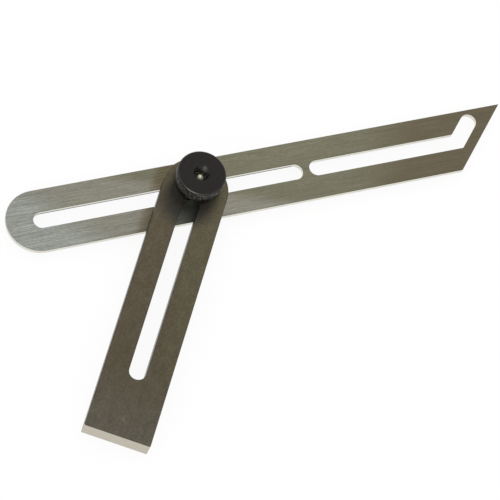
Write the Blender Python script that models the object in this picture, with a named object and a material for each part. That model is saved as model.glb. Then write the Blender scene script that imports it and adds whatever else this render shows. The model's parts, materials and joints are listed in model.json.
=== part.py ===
"""Sliding bevel for metalwork, about 200 mm long.

A slotted blade lies under a slotted stock. A bolt comes up through both slots, with its head under the
blade and its neck keyed in the blade's slot. A plain washer and a knurled thumb nut clamp the stack.

Metres, +Z up. The origin is on the bolt's axis, at the underside of its head. The blade lies along X with
its slanted end at +X, and the stock swings about Z from there.
"""
import math

import bmesh
import bpy
from mathutils import Vector

# Gap kept between pieces that lie on each other, slide or turn in each other
GAP = 0.0003

# Clamp bolt: a round head, a neck keyed in the blade's slot, and a shank for a 6 mm thread
HEAD_DIAMETER = 0.016
HEAD_THICKNESS = 0.0025
HEAD_CHAMFER = 0.0004
NECK_WIDTH = 0.0056
NECK_LENGTH = 0.0082
SHANK_DIAMETER = 0.0054
TIP_CHAMFER = 0.0011
TIP_CROWN = 0.0003
TIP_FLAT_DIAMETER = 0.002
TIP_DEPTH = 0.0026

# Blade: round at one end, cut at 45 degrees at the other
BLADE_LENGTH = 0.200
BLADE_WIDTH = 0.024
BLADE_THICKNESS = 0.002
BLADE_EDGE_BREAK = 0.00015
BLADE_REACH = 0.0712
BLADE_END_ANGLE = math.radians(45.0)

# The blade's straight slot, and past a web its hooked slot, which turns up beside the slanted end
SLOT_START = 0.010
STRAIGHT_SLOT_LENGTH = 0.1044
SLOT_WEB = 0.0028
END_WALL = 0.0038
HOOK_WALL = 0.0018

# Stock: round at the bolt's end, square at the other, and swung round from the blade's direction
STOCK_LENGTH = 0.114
STOCK_WIDTH = 0.024
STOCK_THICKNESS = 0.0075
STOCK_EDGE_BREAK = 0.0002
STOCK_SLOT_WALL = 0.0061
STOCK_SLOT_LENGTH = 0.0855
STOCK_SWING = math.radians(-123.1)

# Washer and thumb nut
WASHER_DIAMETER = 0.012
WASHER_THICKNESS = 0.0012
NUT_DIAMETER = 0.0182
NUT_THICKNESS = 0.005
NUT_CHAMFER = 0.0005
NUT_BORE_CHAMFER = 0.00015
KNURL_PITCH = 0.001
KNURL_DEPTH = 0.0003

# Facets in a full turn of the round shapes, and the angle from which an edge counts as sharp
ROUND_SEGMENTS = 64
SHARP_ANGLE = math.radians(30.0)

# Sizes that follow from the ones above
SLOT_WIDTH = NECK_WIDTH + 2 * GAP
SLOT_RADIUS = SLOT_WIDTH / 2
BORE_RADIUS = SHANK_DIAMETER / 2 + GAP
BLADE_BOTTOM = HEAD_THICKNESS + GAP
BLADE_TOP = BLADE_BOTTOM + BLADE_THICKNESS
STOCK_BOTTOM = BLADE_TOP + GAP
STOCK_TOP = STOCK_BOTTOM + STOCK_THICKNESS
WASHER_BOTTOM = STOCK_TOP + GAP
NUT_BOTTOM = WASHER_BOTTOM + WASHER_THICKNESS + GAP
NUT_TOP = NUT_BOTTOM + NUT_THICKNESS
BOLT_TIP = NUT_TOP - TIP_DEPTH


def clear_scene():
    for thing in list(bpy.data.objects):
        bpy.data.objects.remove(thing, do_unlink=True)


def linear(value):
    return value / 12.92 if value <= 0.04045 else ((value + 0.055) / 1.055) ** 2.4


def surface(name, hex_colour, roughness, metallic):
    """A Principled material from a colour as it looks on a screen."""
    material = bpy.data.materials.new(name)
    material.use_nodes = True
    shader = material.node_tree.nodes["Principled BSDF"]
    channels = [linear(int(hex_colour[i:i + 2], 16) / 255) for i in (0, 2, 4)]
    shader.inputs["Base Color"].default_value = (*channels, 1.0)
    shader.inputs["Roughness"].default_value = roughness
    shader.inputs["Metallic"].default_value = metallic
    return material


def ground_blade_steel():
    return surface("ground blade steel", "8C8A7C", 0.32, 1.0)


def satin_stock_steel():
    return surface("satin stock steel", "5C5644", 0.38, 1.0)


def turned_bolt_steel():
    return surface("turned bolt steel", "B4B0A0", 0.3, 1.0)


def bright_washer_steel():
    return surface("bright washer steel", "A09C90", 0.35, 1.0)


def blackened_nut_steel():
    return surface("blackened nut steel", "302E2D", 0.42, 0.6)


def add_object(name, bm, material, height, turn=0.0):
    """Links a finished mesh as a named object on the bolt's axis."""
    bmesh.ops.recalc_face_normals(bm, faces=bm.faces[:])
    mesh = bpy.data.meshes.new(name)
    bm.to_mesh(mesh)
    bm.free()
    mesh.shade_smooth()
    mesh.set_sharp_from_angle(angle=SHARP_ANGLE)
    mesh.materials.append(material)
    piece = bpy.data.objects.new(name, mesh)
    piece.location = (0.0, 0.0, height)
    piece.rotation_euler = (0.0, 0.0, turn)
    bpy.context.scene.collection.objects.link(piece)
    return piece


def arc(centre, radius, start, sweep):
    """Points on an arc, both ends included, at the spacing of the round shapes."""
    steps = max(2, round(ROUND_SEGMENTS * abs(sweep) / math.tau))
    angles = [start + sweep * step / steps for step in range(steps + 1)]
    return [Vector((centre[0] + radius * math.cos(a), centre[1] + radius * math.sin(a))) for a in angles]


def straight_slot(first, last, radius):
    """A slot along X between two end points on its centre line, round at both ends."""
    left = arc((first + radius, 0.0), radius, math.pi / 2, math.pi)
    right = arc((last - radius, 0.0), radius, -math.pi / 2, math.pi)
    return left + right


def plate(name, outer, holes, thickness, edge_break, material, height, turn=0.0):
    """A flat bar with slots: outlines filled, drawn up to a thickness, and every edge broken a little."""
    bm = bmesh.new()
    for outline in [outer] + holes:
        corners = [bm.verts.new((point.x, point.y, 0.0)) for point in outline]
        for start, end in zip(corners, corners[1:] + corners[:1]):
            bm.edges.new((start, end))
    bmesh.ops.triangle_fill(bm, edges=bm.edges[:], use_beauty=True, normal=(0.0, 0.0, 1.0))
    drawn = bmesh.ops.extrude_face_region(bm, geom=bm.faces[:])
    raised = [item for item in drawn["geom"] if isinstance(item, bmesh.types.BMVert)]
    bmesh.ops.translate(bm, verts=raised, vec=(0.0, 0.0, thickness))
    piece = add_object(name, bm, material, height, turn)
    bevel = piece.modifiers.new("edge break", "BEVEL")
    bevel.width = edge_break
    bevel.segments = 1
    bevel.limit_method = "ANGLE"
    bevel.angle_limit = SHARP_ANGLE
    return piece


def blade_outline():
    half = BLADE_WIDTH / 2
    tip = BLADE_LENGTH - BLADE_REACH
    round_end = arc((half - BLADE_REACH, 0.0), half, math.pi / 2, math.pi)
    slant = BLADE_WIDTH / math.tan(BLADE_END_ANGLE)
    return round_end + [Vector((tip - slant, -half)), Vector((tip, half))]


def hooked_slot(first):
    """The second slot: round at its start, then turned up beside the slanted end, sharp at the bend."""
    along = Vector((math.cos(BLADE_END_ANGLE), math.sin(BLADE_END_ANGLE)))
    inward = Vector((-along.y, along.x))
    tip = Vector((BLADE_LENGTH - BLADE_REACH, BLADE_WIDTH / 2))

    def on_line(offset, height):
        """The point at a height on the line parallel to the slanted end, at a distance inside it."""
        start = tip + inward * offset
        return start + along * ((height - start.y) / along.y)

    outer_bend = on_line(END_WALL, -SLOT_RADIUS)
    inner_bend = on_line(END_WALL + SLOT_WIDTH, SLOT_RADIUS)
    hook_end = on_line(END_WALL + SLOT_RADIUS, BLADE_WIDTH / 2 - HOOK_WALL - SLOT_RADIUS)
    start = arc((first + SLOT_RADIUS, 0.0), SLOT_RADIUS, math.pi / 2, math.pi)
    end = arc(hook_end, SLOT_RADIUS, BLADE_END_ANGLE - math.pi / 2, math.pi)
    return start + [outer_bend] + end + [inner_bend]


def make_blade():
    first = SLOT_START - BLADE_REACH
    last = first + STRAIGHT_SLOT_LENGTH
    slots = [straight_slot(first, last, SLOT_RADIUS), hooked_slot(last + SLOT_WEB)]
    return plate("blade", blade_outline(), slots, BLADE_THICKNESS, BLADE_EDGE_BREAK, ground_blade_steel(),
                 BLADE_BOTTOM)


def make_stock():
    """The stock's own X runs from the bolt to its square end. The bolt stands at the slot's near end."""
    half = STOCK_WIDTH / 2
    near = -SLOT_RADIUS - STOCK_SLOT_WALL
    far = near + STOCK_LENGTH
    round_end = arc((near + half, 0.0), half, math.pi / 2, math.pi)
    outline = round_end + [Vector((far, -half)), Vector((far, half))]
    slot = straight_slot(-SLOT_RADIUS, STOCK_SLOT_LENGTH - SLOT_RADIUS, SLOT_RADIUS)
    return plate("stock", outline, [slot], STOCK_THICKNESS, STOCK_EDGE_BREAK, satin_stock_steel(),
                 STOCK_BOTTOM, STOCK_SWING)


def ring(bm, radius, stretch, height):
    """Corners round a circle, or with a stretch round the same circle pulled apart along X."""
    corners = []
    for step in range(ROUND_SEGMENTS):
        angle = math.tau * (step + 0.5) / ROUND_SEGMENTS
        shift = math.copysign(stretch, math.cos(angle))
        corners.append(bm.verts.new((radius * math.cos(angle) + shift, radius * math.sin(angle), height)))
    return corners


def skin(bm, lower, upper):
    """Faces between two rings that have the same number of corners."""
    for corners in zip(lower, lower[1:] + lower[:1], upper[1:] + upper[:1], upper):
        bm.faces.new(corners)


def make_clamp_bolt():
    """Turned in one piece from the head up, with a longer, slightly wider neck for the blade's slot."""
    head = HEAD_DIAMETER / 2
    neck = NECK_WIDTH / 2
    flats = (NECK_LENGTH - NECK_WIDTH) / 2
    shank = SHANK_DIAMETER / 2
    shoulder = BOLT_TIP - TIP_CROWN
    sections = [
        (head - HEAD_CHAMFER, 0.0, 0.0),
        (head, 0.0, HEAD_CHAMFER),
        (head, 0.0, HEAD_THICKNESS - HEAD_CHAMFER),
        (head - HEAD_CHAMFER, 0.0, HEAD_THICKNESS),
        (neck, flats, HEAD_THICKNESS),
        (neck, flats, BLADE_TOP),
        (shank, 0.0, BLADE_TOP),
        (shank, 0.0, shoulder - TIP_CHAMFER),
        (shank - TIP_CHAMFER, 0.0, shoulder),
        (TIP_FLAT_DIAMETER / 2, 0.0, BOLT_TIP),
    ]
    bm = bmesh.new()
    rings = [ring(bm, radius, stretch, height) for radius, stretch, height in sections]
    for lower, upper in zip(rings, rings[1:]):
        skin(bm, lower, upper)
    bm.faces.new(rings[0])
    bm.faces.new(rings[-1])
    return add_object("clamp_bolt", bm, turned_bolt_steel(), 0.0)


def turned(profile, steps):
    """A closed profile in the XZ plane spun once round Z."""
    bm = bmesh.new()
    corners = [bm.verts.new((radius, 0.0, height)) for radius, height in profile]
    edges = [bm.edges.new(pair) for pair in zip(corners, corners[1:] + corners[:1])]
    bmesh.ops.spin(bm, geom=corners + edges, cent=(0.0, 0.0, 0.0), axis=(0.0, 0.0, 1.0),
                   angle=math.tau, steps=steps, use_merge=True)
    return bm


def make_washer():
    bore = BORE_RADIUS
    rim = WASHER_DIAMETER / 2
    profile = [(bore, 0.0), (rim, 0.0), (rim, WASHER_THICKNESS), (bore, WASHER_THICKNESS)]
    return add_object("washer", turned(profile, ROUND_SEGMENTS), bright_washer_steel(), WASHER_BOTTOM)


def make_thumb_nut():
    """A turned disc whose rim is pressed into small pyramids: crest and valley take turns both ways."""
    rim = NUT_DIAMETER / 2
    bore = BORE_RADIUS
    columns = 2 * round(math.pi * NUT_DIAMETER / KNURL_PITCH)
    band = NUT_THICKNESS - 2 * NUT_CHAMFER
    rows = max(2, round(2 * band / KNURL_PITCH))
    levels = [NUT_CHAMFER + band * row / rows for row in range(rows + 1)]
    face_edge = rim - KNURL_DEPTH - NUT_CHAMFER
    profile = [(bore, NUT_BORE_CHAMFER), (bore + NUT_BORE_CHAMFER, 0.0), (face_edge, 0.0)]
    profile += [(rim, level) for level in levels]
    profile += [(face_edge, NUT_THICKNESS), (bore + NUT_BORE_CHAMFER, NUT_THICKNESS)]
    profile += [(bore, NUT_THICKNESS - NUT_BORE_CHAMFER)]
    bm = turned(profile, columns)
    valleys = set()
    for vert in bm.verts:
        column = round(math.atan2(vert.co.y, vert.co.x) * columns / math.tau)
        row = round((vert.co.z - NUT_CHAMFER) * rows / band)
        on_rim = vert.co.xy.length > rim - KNURL_DEPTH
        if on_rim and (column + row) % 2:
            vert.co.xy = vert.co.xy * ((rim - KNURL_DEPTH) / rim)
            valleys.add(vert)
    for face in bm.faces[:]:
        low = [vert for vert in face.verts if vert in valleys]
        if len(low) == 2:
            opposite = not any(edge.other_vert(low[0]) is low[1] for edge in low[0].link_edges)
            if opposite:
                bmesh.ops.connect_verts(bm, verts=low)
    return add_object("thumb_nut", bm, blackened_nut_steel(), NUT_BOTTOM)


clear_scene()
make_blade()
make_stock()
make_clamp_bolt()
make_washer()
make_thumb_nut()
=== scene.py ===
"""Sliding bevel: the fine shapes and finishes of its five pieces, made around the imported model.

Metres, +Z up. The origin is on the clamp bolt's axis, at the underside of its head. The blade lies along X
with its slanted end at +X, and the stock points away from the bolt between the blade and the washer.
"""
import json
import math

import bmesh
import bpy
from bpy.props import FloatProperty, FloatVectorProperty, PointerProperty
from mathutils import Matrix, Vector, noise


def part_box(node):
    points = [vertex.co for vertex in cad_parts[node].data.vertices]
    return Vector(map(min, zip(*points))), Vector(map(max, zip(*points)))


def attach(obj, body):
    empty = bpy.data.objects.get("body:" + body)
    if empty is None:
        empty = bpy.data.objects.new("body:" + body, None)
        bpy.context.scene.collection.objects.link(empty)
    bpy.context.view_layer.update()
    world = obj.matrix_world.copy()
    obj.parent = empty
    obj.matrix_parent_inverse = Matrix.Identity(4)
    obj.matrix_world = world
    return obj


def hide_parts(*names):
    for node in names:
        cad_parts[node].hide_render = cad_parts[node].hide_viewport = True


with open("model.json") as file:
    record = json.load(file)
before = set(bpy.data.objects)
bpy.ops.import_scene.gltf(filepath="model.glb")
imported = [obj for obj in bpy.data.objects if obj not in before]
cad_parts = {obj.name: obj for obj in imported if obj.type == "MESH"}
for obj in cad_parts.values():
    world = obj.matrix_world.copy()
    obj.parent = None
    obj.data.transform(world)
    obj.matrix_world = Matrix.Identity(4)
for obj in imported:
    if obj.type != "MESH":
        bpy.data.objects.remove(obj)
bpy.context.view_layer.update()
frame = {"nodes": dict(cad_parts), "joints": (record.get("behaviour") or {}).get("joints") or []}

bl_info = {
    "name": "Sliding Bevel",
    "version": (1, 0, 0),
    "blender": (4, 5, 0),
    "location": "3D View > Sidebar > Sliding Bevel",
    "description": "Builds a sliding bevel's blade, stock and clamp, with their ground and turned finishes",
    "category": "Add Mesh",
}

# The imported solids' places, which every piece here follows
BLADE_LOW, BLADE_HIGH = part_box("blade")
STOCK_LOW, STOCK_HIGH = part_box("stock")
BOLT_LOW, BOLT_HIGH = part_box("clamp_bolt")
WASHER_LOW, WASHER_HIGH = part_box("washer")
NUT_LOW, NUT_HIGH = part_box("thumb_nut")
STOCK_ALONG = Vector(next(joint["axis"] for joint in frame["joints"] if joint["name"] == "stock_slide"))
STOCK_ACROSS = Vector((-STOCK_ALONG.y, STOCK_ALONG.x, 0.0))
STOCK_SWING = math.atan2(STOCK_ALONG.y, STOCK_ALONG.x)

CENTRE = (0.0, 0.0, 0.0)
UP = (0.0, 0.0, 1.0)
QUARTER_TURN = math.pi / 2

# Steps in half a turn of a round outline, in a whole turn of a thread or a turned face, across a broken edge,
# down the chamfer of a thread, and up the bolt's crown
HALF_TURN_STEPS = 48
TURN_STEPS = 72
BEVEL_STEPS = 2
CHAMFER_SLICES = 6
CROWN_RINGS = 5

# Faces that meet at more than this angle make an edge, and points nearer than this distance are one
SHARP_ANGLE = math.radians(20.0)
WELD_DISTANCE = 0.000002

# An ISO thread's flats, as shares of its pitch
CREST_FLAT_SHARE = 0.125
ROOT_FLAT_SHARE = 0.25


def linear(hex_colour):
    """An sRGB hex colour as the linear values that Blender's sockets and properties hold."""
    shares = [int(hex_colour[place:place + 2], 16) / 255 for place in (0, 2, 4)]
    return [share / 12.92 if share <= 0.04045 else ((share + 0.055) / 1.055) ** 2.4 for share in shares]


def length(name, description, default):
    """A size in metres, as a property that a user can change."""
    return FloatProperty(name=name, description=description, default=default, min=0.0, unit="LENGTH",
                         precision=5)


def tint(name, description, hex_colour):
    """A colour, given in sRGB hex, as a property that a user can change."""
    return FloatVectorProperty(name=name, description=description, default=linear(hex_colour), size=3,
                               min=0.0, max=1.0, subtype="COLOR")


class BladeSizes(bpy.types.PropertyGroup):
    """The blade's slots and edges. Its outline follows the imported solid."""
    slot_width: length("Slot width", "Width of both slots", 0.0062)
    slot_start: length("Slot start", "From the blade's round end to its first slot", 0.010)
    straight_slot: length("Straight slot", "Length of the first slot", 0.1044)
    web: length("Web", "Metal left between the two slots", 0.0028)
    end_wall: length("End wall", "From the slanted end to the hook of the second slot", 0.0038)
    hook_wall: length("Hook wall", "From the blade's edge to the tip of the hook", 0.0018)
    end_angle: FloatProperty(name="End angle", description="Angle of the slanted end to the blade's edges",
                             default=math.radians(45.0), subtype="ANGLE")
    edge_break: length("Edge break", "Width of the small rounding along every edge", 0.00015)


class StockSizes(bpy.types.PropertyGroup):
    """The stock's slot and edges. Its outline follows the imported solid."""
    slot_width: length("Slot width", "Width of the stock's slot", 0.0062)
    slot_length: length("Slot length", "Length of the stock's slot", 0.0855)
    edge_break: length("Edge break", "Width of the small rounding along every edge", 0.0003)


class ClampSizes(bpy.types.PropertyGroup):
    """The bolt, the washer and the nut, as far as their packed boxes leave them open."""
    head_thickness: length("Head thickness", "Thickness of the bolt's round head", 0.0025)
    head_chamfer: length("Head chamfer", "Chamfer round both edges of the bolt's head", 0.0004)
    neck_width: length("Neck width", "Width of the key that fits the blade's slot", 0.0056)
    neck_length: length("Neck length", "Length of the key along the blade's slot", 0.0082)
    thread_pitch: length("Thread pitch", "Rise of the thread in one turn", 0.001)
    bolt_crest: length("Bolt crest radius", "Radius over the bolt's thread", 0.00266)
    bolt_root: length("Bolt root radius", "Radius at the bottom of the bolt's thread", 0.0023)
    tip_radius: length("Tip radius", "Radius of the faced disc on the bolt's tip", 0.0017)
    tip_crown: length("Tip crown", "Height of the disc's crown", 0.0004)
    # Painted highlight: the radius of the bright spot on the tip's crown
    highlight_radius: length("Rubbed radius", "Radius of the spot on the tip that is rubbed bright", 0.0008)
    washer_bore: length("Washer bore radius", "Radius of the washer's hole", 0.003)
    washer_edge: length("Washer edge", "Rounding of the washer's edges", 0.00012)
    nut_crest: length("Nut crest radius", "Radius inside the nut's thread", 0.00274)
    nut_root: length("Nut root radius", "Radius at the bottom of the nut's thread", 0.00296)
    nut_hole: length("Nut hole radius", "Radius of the countersunk hole at the nut's faces", 0.00306)
    nut_chamfer: length("Nut chamfer", "Chamfer round both edges of the nut", 0.00028)
    nut_rub: length("Nut rub", "Width of the line round each face where the black is rubbed thin", 0.00015)
    knurl_pitch: length("Knurl pitch", "Distance between two crests of the knurl", 0.001)
    knurl_depth: length("Knurl depth", "Height of the knurl's pyramids", 0.00022)
    knurl_flat: length("Knurl flat", "Half width of the flat left on each crest", 0.00015)


class Finishes(bpy.types.PropertyGroup):
    """The colours of every surface."""
    # Painted reflection: the four blade tones, from the round end to the slanted end, stand in for the room's
    # reflection along the blade
    blade_cool: tint("Blade, round end", "Ground face at the round end", "888B84")
    blade_plain: tint("Blade, first half", "Ground face between the round end and the stock", "78766B")
    blade_middle: tint("Blade, middle", "Ground face past the stock", "666454")
    blade_warm: tint("Blade, slanted end", "Ground face towards the slanted end", "5C5545")
    # Painted light: a lighter disc round the bolt that lifts the shade on the blade inside the stock's slot
    blade_lifted: tint("Blade, rubbed", "Disc round the bolt that the stock has rubbed bright", "8A8E88")
    # Painted shadow: the brown line that the stock casts on the blade along its left side
    blade_shadowed: tint("Blade, oiled", "Brown tint of the oil beside the stock", "E2D9CD")
    # Painted light: the light colours of the blade's edges and slot walls are the faces' own steel, drawn as it
    # looks facing bright surroundings
    blade_edges: tint("Blade edges", "Cut edges and slot walls", "DEDCD0")
    slot_walls: tint("Blade slot walls", "Milled walls of the blade's first slot", "E1DFD5")
    stock_face: tint("Stock face", "Satin faces of the stock", "564F41")
    stock_tinge: tint("Stock, tinged", "Side and patches where the face has yellowed", "585342")
    stock_grey: tint("Stock, greyed", "Face towards the square end", "5C574C")
    # Painted shadow and reflection of the nut on the stock round the clamp
    stock_shaded: tint("Stock, oiled", "Darker film of oil round the clamp", "3B3833")
    # Painted light: the stock's own steel, drawn as it looks where its end faces bright surroundings
    stock_end: tint("Stock end", "Sawn and filed square end", "BFB8A9")
    stock_sides: tint("Stock sides", "Long edges and slot walls", "3E3A36")
    bolt_steel: tint("Bolt", "Head and neck", "B0AC9F")
    bolt_tip: tint("Bolt tip", "Faced disc on the bolt's tip", "5E5C50")
    # Painted highlight on the middle of the bolt's tip
    tip_highlight: tint("Bolt tip, rubbed", "Middle of the tip, rubbed bright", "E6E8CE")
    # Partly the bare cut thread's own colour, partly painted light that lifts the shade in the nut's bore round
    # the tip
    thread_bare_and_lit: tint("Bolt thread", "Clean cut thread", "C8C4B4")
    washer_steel: tint("Washer", "Bright washer", "A29D90")
    nut_black: tint("Nut", "Blackened faces of the nut", "282625")
    # Partly wear, partly painted light: the lifted shade in the bore and the glints on the rims and knurl
    # crests
    nut_worn_and_lit: tint("Nut, worn", "Crests and edges where fingers have thinned the black", "9A9893")


def rgba(colour):
    """A colour with the full opacity that a node's socket asks for."""
    return (*colour, 1.0)


def live(sockets, name):
    """The socket of that name, or at that place, that a node shows with its present settings."""
    if isinstance(name, int):
        return sockets[name]
    return next(socket for socket in sockets if socket.name == name and socket.enabled)


def add_node(tree, kind, inputs, output=None, **settings):
    """Adds a node with its settings, and gives its output of that name. Each input is a value, or the socket
    that it is linked from."""
    node = tree.nodes.new(kind)
    for name, value in settings.items():
        setattr(node, name, value)
    for name, value in inputs.items():
        socket = live(node.inputs, name)
        if isinstance(value, bpy.types.NodeSocket):
            tree.links.new(value, socket)
        else:
            socket.default_value = value
    return live(node.outputs, output) if output else node


def new_material(name):
    """A named material with an empty node tree, and the place on the piece that its patterns follow."""
    material = bpy.data.materials.new(name)
    material.use_nodes = True
    tree = material.node_tree
    tree.nodes.clear()
    return material, tree, add_node(tree, "ShaderNodeTexCoord", {}, "Object")


# Marks: the middle part of a noise's range, stretched to the whole of it, lays them side by side. Finer noise
# added to the first, at a falling strength, breaks up their edges.
MARK_SPAN = (0.3, 0.7)
MARK_DETAIL = 3.0
MARK_ROUGHNESS = 0.6

# Hairline scratches: a noise's highest peaks alone, far apart and clean-edged, drawn some three times wider
# than real ones so that they show
SCRATCH_LENGTH = 0.005
SCRATCH_WIDTH = 0.00022
SCRATCH_SPAN = (0.80, 0.88)
SCRATCH_DETAIL = 0.0


def marks(tree, place, along, across, turn=0.0, span=MARK_SPAN, detail=MARK_DETAIL):
    """A pattern of marks of a length and width in metres, drawn out along a direction."""
    mapped = add_node(tree, "ShaderNodeMapping",
                      {"Vector": place, "Rotation": (0.0, 0.0, turn), "Scale": (along, across, across)},
                      "Vector", vector_type="TEXTURE")
    cloud = add_node(tree, "ShaderNodeTexNoise",
                     {"Vector": mapped, "Scale": 1.0, "Detail": detail, "Roughness": MARK_ROUGHNESS}, "Fac")
    low, high = span
    return add_node(tree, "ShaderNodeMapRange", {"Value": cloud, "From Min": low, "From Max": high}, "Result")


def scratches(tree, place, turn):
    """A pattern of a few hairline scratches in one direction."""
    return marks(tree, place, SCRATCH_LENGTH, SCRATCH_WIDTH, turn, SCRATCH_SPAN, SCRATCH_DETAIL)


def toned(tree, colour, pattern, dark, light):
    """A colour made darker and lighter by a pattern."""
    factor = add_node(tree, "ShaderNodeMapRange", {"Value": pattern, "To Min": dark, "To Max": light}, "Result")
    return add_node(tree, "ShaderNodeMix", {"Factor": 1.0, "A": colour, "B": factor}, "Result",
                    data_type="RGBA", blend_type="MULTIPLY")


# What is left of each axis when a place is seen from above
FROM_ABOVE = (1.0, 1.0, 0.0)


def outside_disc(tree, place, middle, start, end):
    """How far a place lies outside a disc, as a factor: none within one radius, and one beyond another."""
    away = add_node(tree, "ShaderNodeVectorMath", {0: place, 1: middle}, "Vector", operation="SUBTRACT")
    flat = add_node(tree, "ShaderNodeVectorMath", {0: away, 1: FROM_ABOVE}, "Vector", operation="MULTIPLY")
    reach = add_node(tree, "ShaderNodeVectorMath", {0: flat}, "Value", operation="LENGTH")
    return add_node(tree, "ShaderNodeMapRange", {"Value": reach, "From Min": start, "From Max": end}, "Result",
                    interpolation_type="SMOOTHSTEP")


def drift(tree, place, direction, start, end):
    """A smooth change along a direction, as a factor: none up to a start, and one from an end on."""
    along = add_node(tree, "ShaderNodeVectorMath", {0: place, 1: direction}, "Value", operation="DOT_PRODUCT")
    return add_node(tree, "ShaderNodeMapRange", {"Value": along, "From Min": start, "From Max": end}, "Result",
                    interpolation_type="SMOOTHSTEP")


# The UV map along a ground face's grain, and the share of a turn that spreads its gloss across the grain
GRAIN_MAP = "grain"
ACROSS_GRAIN = 0.25


def finish_metal(tree, colour, pattern, gloss, ridges, depth, grain=0.0):
    """Ends a metal's tree: its roughness goes from smooth to rough with a pattern, and fine ridges of a real
    depth stand on it. A grain along the piece's UV map spreads reflections across it."""
    smooth, rough = gloss
    varied = add_node(tree, "ShaderNodeMapRange", {"Value": pattern, "To Min": smooth, "To Max": rough},
                      "Result")
    normal = add_node(tree, "ShaderNodeBump", {"Height": ridges, "Distance": depth, "Strength": 1.0}, "Normal")
    inputs = {"Base Color": colour, "Roughness": varied, "Metallic": 1.0, "Normal": normal}
    if grain:
        inputs["Tangent"] = add_node(tree, "ShaderNodeTangent", {}, "Tangent", direction_type="UV_MAP",
                                     uv_map=GRAIN_MAP)
        inputs["Anisotropic"] = grain
        inputs["Anisotropic Rotation"] = ACROSS_GRAIN
    surface = add_node(tree, "ShaderNodeBsdfPrincipled", inputs, "BSDF")
    add_node(tree, "ShaderNodeOutputMaterial", {"Surface": surface})


# Marks of the grinding wheel on the blade. Real lines and flecks are about 0.05 mm wide, and are drawn some
# five times coarser here, because finer ones would not show in the picture. The bands, where the wheel bore
# harder, have a real width.
GRINDING_LENGTH = 0.018
GRINDING_WIDTH = 0.00024
FLECK_LENGTH = 0.0012
FLECK_WIDTH = 0.00026
BAND_LENGTH = 0.030
BAND_WIDTH = 0.0022
GRINDING_DEPTH = 0.000004

# How dark and how light each pattern makes the blade, the direction of its scratches, its roughness, and how
# far its grain spreads reflections
GRINDING_TONES = (0.66, 1.36)
FLECK_TONES = (0.80, 1.23)
BAND_TONES = (0.92, 1.09)
BLADE_SCRATCH_TONES = (1.0, 1.2)
BLADE_SCRATCH_TURN = 0.5
BLADE_GLOSS = (0.40, 0.46)
BLADE_GRAIN = 0.5

# The value at which a pattern leaves a colour about as it is
EVEN = 0.5

# A painted shadow that the stock casts on the blade along its left side: how far its middle lies from the
# bolt's axis, and its reach to both sides
SHADOW_LINE_MIDDLE = 0.0125
SHADOW_LINE_FROM = 0.0012
SHADOW_LINE_TO = 0.0042

# Painted light: a lighter disc under the stock's round end, which lifts the shade that the stock's slot and the
# nut
# cast on the blade: its middle, and the radii where its soft rim starts and ends
LIFTED_DISC = (tuple(STOCK_ALONG * 0.005), 0.0060, 0.0125)

# Painted reflection: the blade's tone is lighter and cooler at the round end and darker and warmer at the
# slanted end, standing in for the room's reflection moving along the blade. Where it goes over from one colour
# to the next: start and end along X, the lean with Y, and the share of the grinding marks' contrast that is
# lost there
PLAIN_REFLECTION_DRIFT = (-0.062, -0.040, 0.9, 0.28)
MIDDLE_REFLECTION_DRIFT = (-0.006, 0.010, 2.7, 0.0)
WARM_REFLECTION_DRIFT = (0.062, 0.088, -0.5, 0.30)


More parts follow.
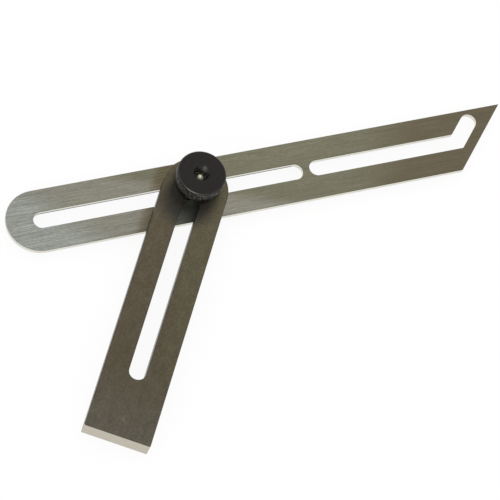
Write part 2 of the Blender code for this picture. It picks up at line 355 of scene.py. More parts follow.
def ground_blade_face(finishes):
    """Surface-ground strip steel: fine lines along the blade give a streaked sheen. Its tone drifts from a cool
    light grey at the round end to a warm olive at the slanted one, a painted reflection of the room. A slightly
    brighter disc round the bolt is painted light that lifts the shade in the stock's slot, and a brown line
    along the stock's left side is a painted shadow of the stock."""
    material, tree, place = new_material("surface-ground blade steel")
    colour = rgba(finishes.blade_cool)
    calm = 0.0
    for (start, end, lean, calmer), tone in ((PLAIN_REFLECTION_DRIFT, finishes.blade_plain),
                                             (MIDDLE_REFLECTION_DRIFT, finishes.blade_middle),
                                             (WARM_REFLECTION_DRIFT, finishes.blade_warm)):
        share = drift(tree, place, (1.0, lean, 0.0), start, end)
        calm = add_node(tree, "ShaderNodeMath", {0: share, 1: calmer, 2: calm}, "Value",
                        operation="MULTIPLY_ADD")
        colour = add_node(tree, "ShaderNodeMix", {"Factor": share, "A": colour, "B": rgba(tone)}, "Result",
                          data_type="RGBA")
    # Painted light: the lighter disc round the bolt lifts the shade in the stock's slot
    unlifted = outside_disc(tree, place, *LIFTED_DISC)
    colour = add_node(tree, "ShaderNodeMix",
                      {"Factor": unlifted, "A": rgba(finishes.blade_lifted), "B": colour}, "Result",
                      data_type="RGBA")
    lines = marks(tree, place, GRINDING_LENGTH, GRINDING_WIDTH)
    bands = marks(tree, place, BAND_LENGTH, BAND_WIDTH)
    flecks = marks(tree, place, FLECK_LENGTH, FLECK_WIDTH)
    calm_lines = add_node(tree, "ShaderNodeMix", {"Factor": calm, "A": lines, "B": EVEN}, "Result")
    calm_flecks = add_node(tree, "ShaderNodeMix", {"Factor": calm, "A": flecks, "B": EVEN}, "Result")
    for pattern, tones in ((calm_lines, GRINDING_TONES), (bands, BAND_TONES), (calm_flecks, FLECK_TONES),
                           (scratches(tree, place, BLADE_SCRATCH_TURN), BLADE_SCRATCH_TONES)):
        colour = toned(tree, colour, pattern, *tones)
    # Painted shadow of the stock on the blade, drawn as a brown line along its left side
    side = add_node(tree, "ShaderNodeVectorMath", {0: place, 1: tuple(-STOCK_ACROSS)}, "Value",
                    operation="DOT_PRODUCT")
    away = add_node(tree, "ShaderNodeMath", {0: side, 1: SHADOW_LINE_MIDDLE}, "Value", operation="SUBTRACT")
    away = add_node(tree, "ShaderNodeMath", {0: away}, "Value", operation="ABSOLUTE")
    line = add_node(tree, "ShaderNodeMapRange",
                    {"Value": away, "From Min": SHADOW_LINE_TO, "From Max": SHADOW_LINE_FROM}, "Result",
                    interpolation_type="SMOOTHSTEP")
    colour = add_node(tree, "ShaderNodeMix", {"Factor": line, "A": colour, "B": rgba(finishes.blade_shadowed)},
                      "Result", data_type="RGBA", blend_type="MULTIPLY")
    finish_metal(tree, colour, bands, BLADE_GLOSS, lines, GRINDING_DEPTH, BLADE_GRAIN)
    return material


# Marks of the cutter and the file on the narrow edges, drawn some four times coarser than real ones so that
# they show, with how dark and light they are and the edges' roughness
EDGE_MARK_LENGTH = 0.004
EDGE_MARK_WIDTH = 0.0004
EDGE_MARK_DEPTH = 0.000004
EDGE_TONES = (0.89, 1.11)
EDGE_GLOSS = (0.28, 0.40)

# A painted shade along the foot of a slot's wall: up to which height it is full, where it ends, and how dark it
# is
FOOT_FROM = 0.0005
FOOT_TO = 0.0009
FOOT_TONE = 0.1


def cut_edge(name, colour, turn=0.0, foot=None):
    """Milled and filed edges, with short faint marks along them which catch the light. Light colours given to
    them are
    painted light: the faces' own steel as it looks where a side faces bright surroundings. Where a wall has a
    foot, at a height, a painted shade lies along it as a dark line."""
    material, tree, place = new_material(name)
    lines = marks(tree, place, EDGE_MARK_LENGTH, EDGE_MARK_WIDTH, turn)
    tone = toned(tree, rgba(colour), lines, *EDGE_TONES)
    # Painted shade along the foot of the wall
    if foot is not None:
        height = add_node(tree, "ShaderNodeSeparateXYZ", {"Vector": place}, "Z")
        above_foot_shade = add_node(tree, "ShaderNodeMapRange", {"Value": height, "From Min": foot + FOOT_FROM,
                                                      "From Max": foot + FOOT_TO}, "Result")
        tone = toned(tree, tone, above_foot_shade, FOOT_TONE, 1.0)
    finish_metal(tree, tone, lines, EDGE_GLOSS, lines, EDGE_MARK_DEPTH)
    return material


# The stock's satin finish: short grains along the bar, which are about 0.1 mm wide on a real one and are drawn
# some eight times coarser to show, over soft mottling and patches of a real size
SATIN_LENGTH = 0.0009
SATIN_WIDTH = 0.0008
SATIN_DEPTH = 0.000005
MOTTLE_LENGTH = 0.005
MOTTLE_WIDTH = 0.003
TINGE_LENGTH = 0.016
TINGE_WIDTH = 0.006

# How dark and how light each pattern makes the stock, the directions of its scratches, how strong its yellowed
# patches are, its roughness, and how far its grain spreads reflections
SATIN_TONES = (0.85, 1.16)
MOTTLE_TONES = (0.89, 1.12)
STOCK_SCRATCH_TONES = (1.0, 1.6)
STOCK_SCRATCH_TURNS = (STOCK_SWING + 0.9, STOCK_SWING - 0.5)
TINGE_PATCHES = 0.25
STOCK_GLOSS = (0.44, 0.50)
STOCK_GRAIN = 0.4

# Where the face goes over to its yellowed side, which narrows towards the square end, and to its greyed end:
# the direction, the start and the end
TINGE_LEAN = 0.15
TINGE_DRIFT = (tuple(STOCK_ACROSS - STOCK_ALONG * TINGE_LEAN), -0.005, 0.003)
GREY_DRIFT = (tuple(STOCK_ALONG), 0.076, 0.104)

# A painted shadow and reflection of the nut on the stock beside the clamp: its middle, and the radii where it
# starts to thin and where it ends
NUT_SHADE_DISC = (tuple(STOCK_ALONG * 0.0105 - STOCK_ACROSS * 0.0016), 0.0056, 0.0124)

# Painted light next to the nut, which lifts the shade that the nut casts on the stock there: where it lies, and
# how much lighter it is there
NUT_LIFT_DISC = (tuple(STOCK_ALONG * 0.0022), 0.0073, 0.0094)
NUT_LIFT_TONE = 2.0


def satin_stock_face(finishes):
    """Satin-ground bar steel with a thin film of oil: a dark warm grey with a fine grain along the bar and soft
    mottling where the oil lies thicker. One side has yellowed and the square end has greyed. A darker patch
    beside the clamp is a painted shadow and reflection of the nut, and painted light lifts it again next to the
    nut."""
    material, tree, place = new_material("satin-ground stock steel")
    # Painted shadow and reflection of the nut round the clamp
    unshaded = outside_disc(tree, place, *NUT_SHADE_DISC)
    patches = marks(tree, place, TINGE_LENGTH, TINGE_WIDTH, STOCK_SWING)
    tinged = add_node(tree, "ShaderNodeMath",
                      {0: patches, 1: TINGE_PATCHES, 2: drift(tree, place, *TINGE_DRIFT)}, "Value",
                      operation="MULTIPLY_ADD", use_clamp=True)
    face = add_node(tree, "ShaderNodeMix", {"Factor": tinged, "A": rgba(finishes.stock_face),
                                            "B": rgba(finishes.stock_tinge)}, "Result", data_type="RGBA")
    face = add_node(tree, "ShaderNodeMix", {"Factor": drift(tree, place, *GREY_DRIFT), "A": face,
                                            "B": rgba(finishes.stock_grey)}, "Result", data_type="RGBA")
    # Painted light close to the nut, lifting its shade
    outside_lift = outside_disc(tree, place, *NUT_LIFT_DISC)
    shaded = toned(tree, rgba(finishes.stock_shaded), outside_lift, NUT_LIFT_TONE, 1.0)
    face = add_node(tree, "ShaderNodeMix", {"Factor": unshaded, "A": shaded, "B": face}, "Result", data_type="RGBA")
    grain = marks(tree, place, SATIN_LENGTH, SATIN_WIDTH, STOCK_SWING)
    mottle = marks(tree, place, MOTTLE_LENGTH, MOTTLE_WIDTH, STOCK_SWING)
    colour = toned(tree, face, grain, *SATIN_TONES)
    colour = toned(tree, colour, mottle, *MOTTLE_TONES)
    for turn in STOCK_SCRATCH_TURNS:
        colour = toned(tree, colour, scratches(tree, place, turn), *STOCK_SCRATCH_TONES)
    finish_metal(tree, colour, mottle, STOCK_GLOSS, grain, SATIN_DEPTH, STOCK_GRAIN)
    return material


# Rings left by the lathe tool, drawn four times as far apart as real ones so that they show. They waver a
# little, and are faint.
TURNING_PITCH = 0.0004
TURNING_DEPTH = 0.000004
TURNING_WAVER = 0.6
TURNING_DETAIL = 2.0
TURNING_TONES = (0.95, 1.05)

# A wave texture turns through twenty radians in one unit
WAVE_RADIANS = 20.0

# Blotches where oil or black lies unevenly, of a real size
BLOTCH_SIZE = 0.0016
BLOTCH_TONES = (0.92, 1.08)

# The attribute in which a piece marks its wear and its painted light: the painted highlight on the bolt's tip,
# and on the nut wear together with painted glints and painted light in its bore
WEAR_AND_LIGHT = "wear"

# Roughness of the turned pieces: bare steel shines a little, a cut thread scatters more, the faced tip is the
# smoothest, and a blackened nut is hardly duller than the steel under its thin skin
BARE_GLOSS = (0.30, 0.42)
THREAD_GLOSS = (0.50, 0.60)
FACED_GLOSS = (0.20, 0.30)
BLACK_GLOSS = (0.32, 0.42)


def turned_steel(name, colour, gloss, worn_or_lit=None):
    """Lathe-turned steel: fine rings round the axis, which draw highlights out into arcs, under soft blotches.
    Where a piece marks its wear and painted light, the colour goes over into a lighter one."""
    material, tree, place = new_material(name)
    rings = add_node(tree, "ShaderNodeTexWave",
                     {"Vector": place, "Scale": math.tau / (WAVE_RADIANS * TURNING_PITCH),
                      "Distortion": TURNING_WAVER, "Detail": TURNING_DETAIL}, "Fac",
                     wave_type="RINGS", rings_direction="Z")
    blotches = marks(tree, place, BLOTCH_SIZE, BLOTCH_SIZE)
    tone = rgba(colour)
    if worn_or_lit is not None:
        wear = add_node(tree, "ShaderNodeAttribute", {}, "Fac", attribute_name=WEAR_AND_LIGHT)
        tone = add_node(tree, "ShaderNodeMix", {"Factor": wear, "A": tone, "B": rgba(worn_or_lit)}, "Result",
                        data_type="RGBA")
    tone = toned(tree, tone, rings, *TURNING_TONES)
    tone = toned(tree, tone, blotches, *BLOTCH_TONES)
    finish_metal(tree, tone, blotches, gloss, rings, TURNING_DEPTH)
    return material


def draw_outline(bm, start, moves):
    """Draws a closed outline. Each move is a straight run to a place, or a turn of an angle about one."""
    pen = bm.verts.new(start)
    for place, turn in moves:
        if turn:
            steps = max(2, round(HALF_TURN_STEPS * abs(turn) / math.pi))
            spun = bmesh.ops.spin(bm, geom=[pen], cent=place, axis=UP, angle=turn, steps=steps)
            pen = next(item for item in spun["geom_last"] if isinstance(item, bmesh.types.BMVert))
        else:
            pen = bmesh.ops.extrude_vert_indiv(bm, verts=[pen])["verts"][0]
            pen.co = place
    bmesh.ops.remove_doubles(bm, verts=bm.verts[:], dist=WELD_DISTANCE)


def draw_slot(bm, first, last, radius, height):
    """A straight slot along X, round at both ends."""
    start = Vector((first + radius, radius, height))
    draw_outline(bm, start, [
        ((first + radius, 0.0, height), math.pi),
        ((last - radius, -radius, height), 0.0),
        ((last - radius, 0.0, height), math.pi),
        (start, 0.0),
    ])


def open_edges(bm, height):
    """The edges at a height that no face, or only one, uses yet."""
    return [edge for edge in bm.edges if len(edge.link_faces) < 2
            and all(abs(vert.co.z - height) < WELD_DISTANCE for vert in edge.verts)]


def raise_edges(bm, edges, rise, widen=1.0):
    """Draws edges up into a wall, widens or narrows its upper rim about the axis, and gives that rim."""
    drawn = bmesh.ops.extrude_edge_only(bm, edges=edges)["geom"]
    rim = {item for item in drawn if isinstance(item, bmesh.types.BMVert)}
    bmesh.ops.scale(bm, verts=list(rim), vec=(widen, widen, 1.0))
    bmesh.ops.translate(bm, verts=list(rim), vec=(0.0, 0.0, rise))
    return [item for item in drawn if isinstance(item, bmesh.types.BMEdge)
            and all(vert in rim for vert in item.verts)]


def fill_between(bm, height):
    """Closes the flat face at a height, between its outer outline and any outlines inside it."""
    bmesh.ops.triangle_fill(bm, edges=open_edges(bm, height), use_beauty=True, normal=UP)


def break_edges(bm, width):
    """Rounds every sharp edge a little."""
    bmesh.ops.recalc_face_normals(bm, faces=bm.faces[:])
    sharp = [edge for edge in bm.edges if edge.calc_face_angle(0.0) > SHARP_ANGLE]
    bmesh.ops.bevel(bm, geom=sharp, offset=width, offset_type="OFFSET", segments=BEVEL_STEPS, profile=0.5,
                    affect="EDGES", clamp_overlap=True, material=-1)


def make_plate(bm, bottom, thickness, edge_break):
    """Fills the drawn outlines, draws them up into a plate and breaks its edges."""
    fill_between(bm, bottom)
    drawn = bmesh.ops.extrude_face_region(bm, geom=bm.faces[:])["geom"]
    top = [item for item in drawn if isinstance(item, bmesh.types.BMVert)]
    bmesh.ops.translate(bm, verts=top, vec=(0.0, 0.0, thickness))
    break_edges(bm, edge_break)


def lies_flat(face):
    """Whether a face of a plate belongs to its upper or lower side, with the broken edge next to it."""
    return abs(face.normal.z) > math.sin(SHARP_ANGLE)


def turn_profile(bm, places, steps, closed=False):
    """Spins a profile, given as radii and heights, once round the axis."""
    corners = [bm.verts.new((radius, 0.0, height)) for radius, height in places]
    edges = [bm.edges.new(pair) for pair in zip(corners, corners[1:])]
    if closed:
        edges.append(bm.edges.new((corners[-1], corners[0])))
    bmesh.ops.spin(bm, geom=corners + edges, cent=CENTRE, axis=UP, angle=math.tau, steps=steps, use_merge=True)


def set_radius(vert, radius):
    """Moves a point straight towards the axis, or away from it, to a radius."""
    share = radius / vert.co.xy.length
    vert.co.x *= share
    vert.co.y *= share


def cut_level(bm, height, **clear):
    """Cuts the whole mesh along a level plane, and clears what lies below or above if asked."""
    bmesh.ops.bisect_plane(bm, geom=bm.verts[:] + bm.edges[:] + bm.faces[:], plane_co=(0.0, 0.0, height),
                           plane_no=UP, **clear)


def wind_thread(bm, crest, root, pitch, bottom, top, slices):
    """Winds one pitch of thread profile up the axis, a turn further than it has to reach at each end, slices it
    at heights and trims it flat at both ends."""
    flank_share = (1.0 - CREST_FLAT_SHARE - ROOT_FLAT_SHARE) / 2
    low = bottom - pitch
    profile = [(root, 0.0), (root, ROOT_FLAT_SHARE), (crest, ROOT_FLAT_SHARE + flank_share),
               (crest, 1.0 - flank_share), (root, 1.0)]
    corners = [bm.verts.new((radius, 0.0, low + pitch * share)) for radius, share in profile]
    edges = [bm.edges.new(pair) for pair in zip(corners, corners[1:])]
    turns = math.ceil((top - bottom) / pitch) + 2
    bmesh.ops.spin(bm, geom=corners + edges, cent=CENTRE, axis=UP, dvec=(0.0, 0.0, pitch / TURN_STEPS),
                   angle=turns * math.tau, steps=turns * TURN_STEPS)
    bmesh.ops.remove_doubles(bm, verts=bm.verts[:], dist=WELD_DISTANCE)
    for height in slices:
        cut_level(bm, height)
    cut_level(bm, bottom, clear_inner=True)
    cut_level(bm, top, clear_outer=True)


def map_grain(bm):
    """Lays a UV map on a plate that still lies along X, whose U runs along its grain."""
    layer = bm.loops.layers.uv.new(GRAIN_MAP)
    for face in bm.faces:
        for loop in face.loops:
            loop[layer].uv = loop.vert.co.xy


def add_piece(name, bm, materials, body):
    """Links a finished mesh as a piece that rides on a body and stands for that body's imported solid."""
    bmesh.ops.recalc_face_normals(bm, faces=bm.faces[:])
    mesh = bpy.data.meshes.new(name)
    bm.to_mesh(mesh)
    bm.free()
    mesh.shade_smooth()
    mesh.set_sharp_from_angle(angle=SHARP_ANGLE)
    for material in materials:
        mesh.materials.append(material)
    piece = bpy.data.objects.new(name, mesh)
    bpy.context.scene.collection.objects.link(piece)
    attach(piece, body)
    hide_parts(body)


class SLIDING_BEVEL_OT_blade(bpy.types.Operator):
    """Adds the slotted blade, ground along its length, with its round end and its slanted end"""
    bl_idname = "sliding_bevel.add_blade"
    bl_label = "Add blade"

    def execute(self, context):
        sizes = context.scene.sliding_bevel_blade
        finishes = context.scene.sliding_bevel_finishes
        bottom = BLADE_LOW.z
        half = BLADE_HIGH.y
        bm = bmesh.new()
        slant = (BLADE_HIGH.y - BLADE_LOW.y) / math.tan(sizes.end_angle)
        start = Vector((BLADE_LOW.x + half, half, bottom))
        draw_outline(bm, start, [
            ((BLADE_LOW.x + half, 0.0, bottom), math.pi),
            ((BLADE_HIGH.x - slant, -half, bottom), 0.0),
            ((BLADE_HIGH.x, half, bottom), 0.0),
            (start, 0.0),
        ])
        first = BLADE_LOW.x + sizes.slot_start
        last = first + sizes.straight_slot
        radius = sizes.slot_width / 2
        draw_slot(bm, first, last, radius, bottom)
        self.draw_hooked_slot(bm, sizes, last + sizes.web, bottom)
        make_plate(bm, bottom, BLADE_HIGH.z - BLADE_LOW.z, sizes.edge_break)
        for face in bm.faces:
            middle = face.calc_center_median()
            if lies_flat(face):
                face.material_index = 0
            elif abs(middle.y) < radius + WELD_DISTANCE and first < middle.x < last - radius:
                face.material_index = 2
            else:
                face.material_index = 1
        map_grain(bm)
        materials = [
            ground_blade_face(finishes),
            # The light edge and wall colours are painted light
            cut_edge("milled blade edges", finishes.blade_edges),
            cut_edge("milled slot walls", finishes.slot_walls, foot=bottom),
        ]
        add_piece("ground_blade", bm, materials, "blade")
        return {"FINISHED"}

    def draw_hooked_slot(self, bm, sizes, first, height):
        """The second slot: round at its start, then turned up beside the slanted end, sharp at the bend."""
        radius = sizes.slot_width / 2
        along = Vector((math.cos(sizes.end_angle), math.sin(sizes.end_angle), 0.0))
        inward = Vector((-along.y, along.x, 0.0))
        tip = Vector((BLADE_HIGH.x, BLADE_HIGH.y, height))

        def on_line(inset, y):
            """The point with that Y on a line parallel to the slanted end, at an inset from it."""
            start = tip + inward * inset
            return start + along * ((y - start.y) / along.y)

        hook_end = on_line(sizes.end_wall + radius, BLADE_HIGH.y - sizes.hook_wall - radius)
        start = Vector((first + radius, radius, height))
        draw_outline(bm, start, [
            ((first + radius, 0.0, height), math.pi),
            (on_line(sizes.end_wall, -radius), 0.0),
            (hook_end - inward * radius, 0.0),
            (hook_end, math.pi),
            (on_line(sizes.end_wall + sizes.slot_width, radius), 0.0),
            (start, 0.0),
        ])


class SLIDING_BEVEL_OT_stock(bpy.types.Operator):
    """Adds the stock, a thick slotted bar that is round at the bolt's end and square at the other"""
    bl_idname = "sliding_bevel.add_stock"
    bl_label = "Add stock"

    def execute(self, context):
        sizes = context.scene.sliding_bevel_stock
        finishes = context.scene.sliding_bevel_finishes
        bottom = STOCK_LOW.z
        points = [vert.co for vert in frame["nodes"]["stock"].data.vertices]
        near = min(point.dot(STOCK_ALONG) for point in points)
        far = max(point.dot(STOCK_ALONG) for point in points)
        half = max(point.dot(STOCK_ACROSS) for point in points)
        radius = sizes.slot_width / 2
        bm = bmesh.new()
        start = Vector((near + half, half, bottom))
        draw_outline(bm, start, [
            ((near + half, 0.0, bottom), math.pi),
            ((far, -half, bottom), 0.0),
            ((far, half, bottom), 0.0),
            (start, 0.0),
        ])
        draw_slot(bm, -radius, sizes.slot_length - radius, radius, bottom)
        make_plate(bm, bottom, STOCK_HIGH.z - STOCK_LOW.z, sizes.edge_break)
        for face in bm.faces:
            if lies_flat(face):
                face.material_index = 0
            elif face.calc_center_median().x > far - sizes.edge_break:
                face.material_index = 1
            else:
                face.material_index = 2
        map_grain(bm)
        bmesh.ops.rotate(bm, verts=bm.verts[:], cent=CENTRE, matrix=Matrix.Rotation(STOCK_SWING, 3, "Z"))
        materials = [
            satin_stock_face(finishes),
            # The end's light colour is painted light
            cut_edge("filed stock end", finishes.stock_end, STOCK_SWING + QUARTER_TURN),
            cut_edge("milled stock sides", finishes.stock_sides, STOCK_SWING),
        ]
        add_piece("satin_stock", bm, materials, "stock")
        return {"FINISHED"}


# The middle of the painted highlight on the bolt's tip, beside the axis
TIP_HIGHLIGHT_MIDDLE = Vector((-0.00026, -0.00009))


class SLIDING_BEVEL_OT_clamp_bolt(bpy.types.Operator):
    """Adds the clamp bolt, with its round head, its neck keyed to the blade's slot and its thread"""
    bl_idname = "sliding_bevel.add_clamp_bolt"
    bl_label = "Add clamp bolt"

    def execute(self, context):
        sizes = context.scene.sliding_bevel_clamp
        finishes = context.scene.sliding_bevel_finishes
        shoulder = BOLT_HIGH.z - sizes.tip_crown
        taper = sizes.bolt_crest - sizes.tip_radius
        slices = [shoulder - taper * step / CHAMFER_SLICES for step in range(1, CHAMFER_SLICES + 1)]
        bm = bmesh.new()
        wind_thread(bm, sizes.bolt_crest, sizes.bolt_root, sizes.thread_pitch, BLADE_HIGH.z, shoulder, slices)
        for vert in bm.verts:
            limit = sizes.tip_radius + shoulder - vert.co.z
            if vert.co.xy.length > limit:
                set_radius(vert, limit)
        self.crown_tip(bm, sizes, shoulder)
        self.add_head(bm, sizes)
        # Here the attribute holds only the painted highlight on the tip
        layer = bm.verts.layers.float.new(WEAR_AND_LIGHT)
        for vert in bm.verts:
            vert[layer] = max(0.0, 1.0 - (vert.co.xy - TIP_HIGHLIGHT_MIDDLE).length / sizes.highlight_radius)
        for face in bm.faces:
            height = face.calc_center_median().z
            if height > shoulder:
                face.material_index = 2
            elif height > BLADE_HIGH.z + WELD_DISTANCE:
                face.material_index = 1
            else:
                face.material_index = 0
        materials = [
            turned_steel("turned bolt steel", finishes.bolt_steel, BARE_GLOSS),
            # The thread's light colour is partly painted light that lifts the bore's shade
            turned_steel("cut thread steel", finishes.thread_bare_and_lit, THREAD_GLOSS),
            # The tip's bright spot is a painted highlight
            turned_steel("faced bolt tip", finishes.bolt_tip, FACED_GLOSS, finishes.tip_highlight),
        ]
        add_piece("turned_clamp_bolt", bm, materials, "clamp_bolt")
        return {"FINISHED"}

    def crown_tip(self, bm, sizes, shoulder):
        """Closes the thread's end with a low dome, as the lathe's facing tool leaves it."""
        rim = open_edges(bm, shoulder)
        angles = [QUARTER_TURN * ring / CROWN_RINGS for ring in range(CROWN_RINGS)]
        for lower, upper in zip(angles, angles[1:]):
            rise = sizes.tip_crown * (math.sin(upper) - math.sin(lower))
            rim = raise_edges(bm, rim, rise, math.cos(upper) / math.cos(lower))
        cap = bmesh.ops.edgeloop_fill(bm, edges=rim)["faces"]
        for centre in bmesh.ops.poke(bm, faces=cap)["verts"]:
            centre.co.z = BOLT_HIGH.z

    def add_head(self, bm, sizes):
        """The round head, and on it the oblong neck that keeps the bolt from turning in the blade's slot."""
        radius = BOLT_HIGH.x
        inner = radius - sizes.head_chamfer
        head_top = BOLT_LOW.z + sizes.head_thickness
        turn_profile(bm, [
            (inner, BOLT_LOW.z),
            (radius, BOLT_LOW.z + sizes.head_chamfer),
            (radius, head_top - sizes.head_chamfer),
            (inner, head_top),
        ], TURN_STEPS)
        fill_between(bm, BOLT_LOW.z)
        reach = sizes.neck_length / 2
        draw_slot(bm, -reach, reach, sizes.neck_width / 2, head_top)
        neck = [edge for edge in open_edges(bm, head_top) if not edge.link_faces]
        fill_between(bm, head_top)
        raise_edges(bm, neck, BLADE_HIGH.z - head_top)
        fill_between(bm, BLADE_HIGH.z)


class SLIDING_BEVEL_OT_washer(bpy.types.Operator):
    """Adds the plain washer between the stock and the nut"""
    bl_idname = "sliding_bevel.add_washer"
    bl_label = "Add washer"

    def execute(self, context):
        sizes = context.scene.sliding_bevel_clamp
        finishes = context.scene.sliding_bevel_finishes
        bm = bmesh.new()
        turn_profile(bm, [
            (sizes.washer_bore, WASHER_LOW.z),
            (WASHER_HIGH.x, WASHER_LOW.z),
            (WASHER_HIGH.x, WASHER_HIGH.z),
            (sizes.washer_bore, WASHER_HIGH.z),
        ], TURN_STEPS, closed=True)
        break_edges(bm, sizes.washer_edge)
        bright = turned_steel("bright washer steel", finishes.washer_steel, BARE_GLOSS)
        add_piece("bright_washer", bm, [bright], "washer")
        return {"FINISHED"}


# How far the nut's black goes over to its lighter colour on the rims of its faces, deep in its bore, and in the
# knurl's valleys. On the rims this is partly wear and partly a painted glint; in the bore it is partly wear and
# partly painted light that lifts the bore's shade, growing with depth
EDGE_WEAR_AND_GLINT = 0.12
BORE_WEAR_AND_LIFT = 0.40
BORE_LIFT_DEPTH = 0.0016
VALLEY_WEAR = 0.04

# How far it is rubbed off on the knurl's crests: much on some and little on the next, which shows as specks
# that are partly wear and partly painted glints
CREST_WEAR = 0.5
UNEVEN_WEAR_AND_GLINT = 1.6
UNEVEN_SIZE = 0.00062


def rim_radii(sizes):
    """The nut's radius in the knurl's valleys, and that of its faces inside the chamfer."""
    valley = NUT_HIGH.x - sizes.knurl_depth
    return valley, valley - sizes.nut_chamfer


class SLIDING_BEVEL_OT_thumb_nut(bpy.types.Operator):
    """Adds the round thumb nut, blackened, with a diamond knurl round its rim and a thread in its bore"""
    bl_idname = "sliding_bevel.add_thumb_nut"
    bl_label = "Add thumb nut"

    def execute(self, context):
        sizes = context.scene.sliding_bevel_clamp
        finishes = context.scene.sliding_bevel_finishes
        bottom = NUT_LOW.z
        top = NUT_HIGH.z
        sink = sizes.nut_hole - sizes.nut_crest
        insets = [sink * step / CHAMFER_SLICES for step in range(1, CHAMFER_SLICES + 1)]
        bm = bmesh.new()
        wind_thread(bm, sizes.nut_crest, sizes.nut_root, sizes.thread_pitch, bottom, top,
                    [bottom + inset for inset in insets] + [top - inset for inset in insets])
        for vert in bm.verts:
            limit = sizes.nut_hole - min(vert.co.z - bottom, top - vert.co.z)
            if vert.co.xy.length < limit:
                set_radius(vert, limit)
        self.add_rim(bm, sizes, bottom, top)
        fill_between(bm, bottom)
        fill_between(bm, top)
        self.mark_wear_and_light(bm, sizes)
        black = turned_steel("blackened nut steel", finishes.nut_black, BLACK_GLOSS, finishes.nut_worn_and_lit)
        add_piece("knurled_thumb_nut", bm, [black], "thumb_nut")
        return {"FINISHED"}

    def add_rim(self, bm, sizes, bottom, top):
        """The nut's rim: a narrow chamfer at both faces, and between them a knurl of small pyramids whose
        crests are rolled flat. It runs out before the chamfers. Each crest takes two columns and two rows."""
        valley, face_edge = rim_radii(sizes)
        columns = 2 * round(math.tau * NUT_HIGH.x / sizes.knurl_pitch)
        low = bottom + sizes.nut_chamfer
        band = top - bottom - 2 * sizes.nut_chamfer
        rows = 2 * round(band / sizes.knurl_pitch)
        levels = [(valley, low + band * row / rows) for row in range(rows + 1)]
        turn_profile(bm, [(face_edge - sizes.nut_rub, bottom), (face_edge, bottom)] + levels
                     + [(face_edge, top), (face_edge - sizes.nut_rub, top)], columns)
        crests = []
        for vert in bm.verts:
            column = round(math.atan2(vert.co.y, vert.co.x) * columns / math.tau)
            row = round((vert.co.z - low) * rows / band)
            if vert.co.xy.length > valley - WELD_DISTANCE and 0 < row < rows and (column + row) % 2 == 0:
                set_radius(vert, NUT_HIGH.x)
                crests.append(vert)
        for crest in crests:
            for face in list(crest.link_faces):
                beside = [edge.other_vert(crest) for edge in crest.link_edges if edge in face.edges]
                bmesh.ops.connect_verts(bm, verts=beside)
        bmesh.ops.bevel(bm, geom=crests, offset=sizes.knurl_flat, offset_type="OFFSET", segments=1, profile=0.5,
                        affect="VERTICES", clamp_overlap=True, material=-1)

    def mark_wear_and_light(self, bm, sizes):
        """Writes how far the black has been rubbed off the thread, the faces' rims and the knurl's crests,
        together with the painted light in the bore and the painted glints on the rims and crests.
        """
        layer = bm.verts.layers.float.new(WEAR_AND_LIGHT)
        valley, face_edge = rim_radii(sizes)
        for vert in bm.verts:
            radius = vert.co.xy.length
            if radius < sizes.nut_hole - WELD_DISTANCE:
                depth = min(vert.co.z - NUT_LOW.z, NUT_HIGH.z - vert.co.z)
                vert[layer] = BORE_WEAR_AND_LIFT * min(1.0, depth / BORE_LIFT_DEPTH)
            elif abs(radius - face_edge) < WELD_DISTANCE:
                vert[layer] = EDGE_WEAR_AND_GLINT
            elif radius > valley - WELD_DISTANCE:
                crest = max(0.0, CREST_WEAR + UNEVEN_WEAR_AND_GLINT * noise.noise(vert.co / UNEVEN_SIZE))
                vert[layer] = VALLEY_WEAR + (crest - VALLEY_WEAR) * (radius - valley) / sizes.knurl_depth


# The photograph's camera: its place, its turn, and the lens that gives a square picture its field
CAMERA_PLACE = (-0.286548, -0.349513, 0.808214)
CAMERA_TURN = [math.radians(angle) for angle in (25.8398, -13.0077, -17.9916)]
CAMERA_LENS = 181.922
SENSOR_WIDTH = 36.0
CLIP_START = 0.01
CLIP_END = 20.0

# The white floor: it lies a hair below the tool, so that the two never share a plane. The last value is the
# share of it that is lifted to plain white.
WHITE = (1.0, 1.0, 1.0)
FLOOR_SIZE = 3.0
FLOOR_GAP = 0.00005
FLOOR_COLOUR = "F2F2F0"
FLOOR_LIFT_SHARE = 0.92

# Soft panel lamps: place, width, height, and how bright the panel looks beside the white room. The key lamp
# stands low behind the tool, and the front lamp glints on the nut's chamfer. Both are aimed at the bolt.
KEY_LAMP = ((0.270, 0.450, 0.400), 0.26, 0.42, 1.8)
FRONT_LAMP = ((-0.540, -0.540, 0.420), 0.50, 0.14, 9.0)
LAMP_AIM = Vector((0.0, 0.0, 0.01))

# Watts for each square metre that make a panel look as bright as a room of strength 1
PANEL_POWER = 4.0


def add_lamp(name, place, width, depth, brightness):
    """A panel lamp, whose power follows from its area and how bright it looks."""
    lamp = bpy.data.lights.new(name, "AREA")
    lamp.shape = "RECTANGLE"
    lamp.size = width
    lamp.size_y = depth
    lamp.energy = PANEL_POWER * width * depth * brightness
    holder = bpy.data.objects.new(name, lamp)
    holder.location = place
    holder.rotation_euler = (LAMP_AIM - Vector(place)).to_track_quat("-Z", "Y").to_euler()
    bpy.context.scene.collection.objects.link(holder)


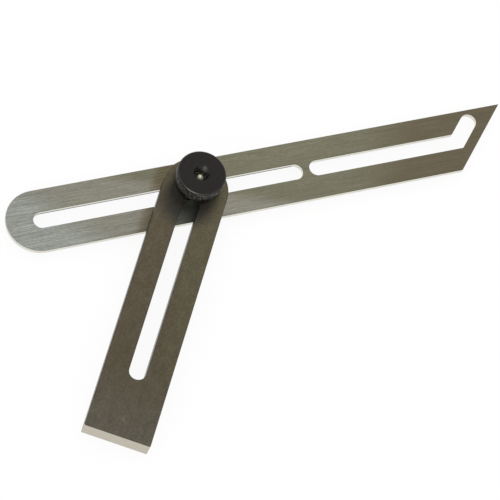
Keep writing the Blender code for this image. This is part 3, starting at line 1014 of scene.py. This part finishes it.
def matt_white_board():
    """A matt white board. Where the camera or a reflection sees it, most of it is lifted to plain white, so
    that only its soft shadow stays."""
    material, tree, _ = new_material("matt white board")
    matt = add_node(tree, "ShaderNodeBsdfDiffuse", {"Color": rgba(linear(FLOOR_COLOUR))}, "BSDF")
    white = add_node(tree, "ShaderNodeEmission", {"Color": rgba(WHITE), "Strength": 1.0}, "Emission")
    seen = add_node(tree, "ShaderNodeLightPath", {}, "Is Camera Ray")
    for kind in ("Is Glossy Ray", "Is Transmission Ray"):
        ray = add_node(tree, "ShaderNodeLightPath", {}, kind)
        seen = add_node(tree, "ShaderNodeMath", {0: seen, 1: ray}, "Value", operation="MAXIMUM")
    share = add_node(tree, "ShaderNodeMath", {0: seen, 1: FLOOR_LIFT_SHARE}, "Value", operation="MULTIPLY")
    blend = add_node(tree, "ShaderNodeMixShader", {0: share, 1: matt, 2: white}, "Shader")
    add_node(tree, "ShaderNodeOutputMaterial", {"Surface": blend})
    return material


class SLIDING_BEVEL_OT_stage(bpy.types.Operator):
    """Adds the pale floor, the white room, two soft lamps and the camera"""
    bl_idname = "sliding_bevel.add_stage"
    bl_label = "Add stage"

    def execute(self, context):
        scene = context.scene
        bm = bmesh.new()
        bmesh.ops.create_grid(bm, x_segments=1, y_segments=1, size=FLOOR_SIZE / 2)
        bmesh.ops.translate(bm, verts=bm.verts[:], vec=(0.0, 0.0, -FLOOR_GAP))
        mesh = bpy.data.meshes.new("floor")
        bm.to_mesh(mesh)
        bm.free()
        mesh.materials.append(matt_white_board())
        floor = bpy.data.objects.new("floor", mesh)
        scene.collection.objects.link(floor)
        world = bpy.data.worlds.new("white room")
        world.use_nodes = True
        background = world.node_tree.nodes["Background"]
        background.inputs["Color"].default_value = rgba(WHITE)
        background.inputs["Strength"].default_value = 1.0
        scene.world = world
        add_lamp("key lamp", *KEY_LAMP)
        add_lamp("front lamp", *FRONT_LAMP)
        camera = bpy.data.cameras.new("camera")
        camera.sensor_width = SENSOR_WIDTH
        camera.lens = CAMERA_LENS
        camera.clip_start = CLIP_START
        camera.clip_end = CLIP_END
        holder = bpy.data.objects.new("camera", camera)
        holder.location = CAMERA_PLACE
        holder.rotation_euler = CAMERA_TURN
        scene.collection.objects.link(holder)
        scene.camera = holder
        scene.view_settings.view_transform = "Standard"
        return {"FINISHED"}


GROUPS = {
    "sliding_bevel_blade": BladeSizes,
    "sliding_bevel_stock": StockSizes,
    "sliding_bevel_clamp": ClampSizes,
    "sliding_bevel_finishes": Finishes,
}
OPERATORS = (
    SLIDING_BEVEL_OT_blade,
    SLIDING_BEVEL_OT_stock,
    SLIDING_BEVEL_OT_clamp_bolt,
    SLIDING_BEVEL_OT_washer,
    SLIDING_BEVEL_OT_thumb_nut,
    SLIDING_BEVEL_OT_stage,
)


class SLIDING_BEVEL_PT_panel(bpy.types.Panel):
    """Lists the pieces to add, and their sizes and finishes"""
    bl_idname = "SLIDING_BEVEL_PT_panel"
    bl_label = "Sliding Bevel"
    bl_space_type = "VIEW_3D"
    bl_region_type = "UI"
    bl_category = "Sliding Bevel"

    def draw(self, context):
        for operator in OPERATORS:
            self.layout.operator(operator.bl_idname)
        for name, kind in GROUPS.items():
            box = self.layout.box()
            for value in kind.__annotations__:
                box.prop(getattr(context.scene, name), value)


CLASSES = (*GROUPS.values(), *OPERATORS, SLIDING_BEVEL_PT_panel)


def register():
    for kind in CLASSES:
        bpy.utils.register_class(kind)
    for name, kind in GROUPS.items():
        setattr(bpy.types.Scene, name, PointerProperty(type=kind))


def unregister():
    for name in GROUPS:
        delattr(bpy.types.Scene, name)
    for kind in reversed(CLASSES):
        bpy.utils.unregister_class(kind)


def main():
    register()
    bpy.ops.sliding_bevel.add_blade()
    bpy.ops.sliding_bevel.add_stock()
    bpy.ops.sliding_bevel.add_clamp_bolt()
    bpy.ops.sliding_bevel.add_washer()
    bpy.ops.sliding_bevel.add_thumb_nut()
    bpy.ops.sliding_bevel.add_stage()


if __name__ == "__main__":
    main()
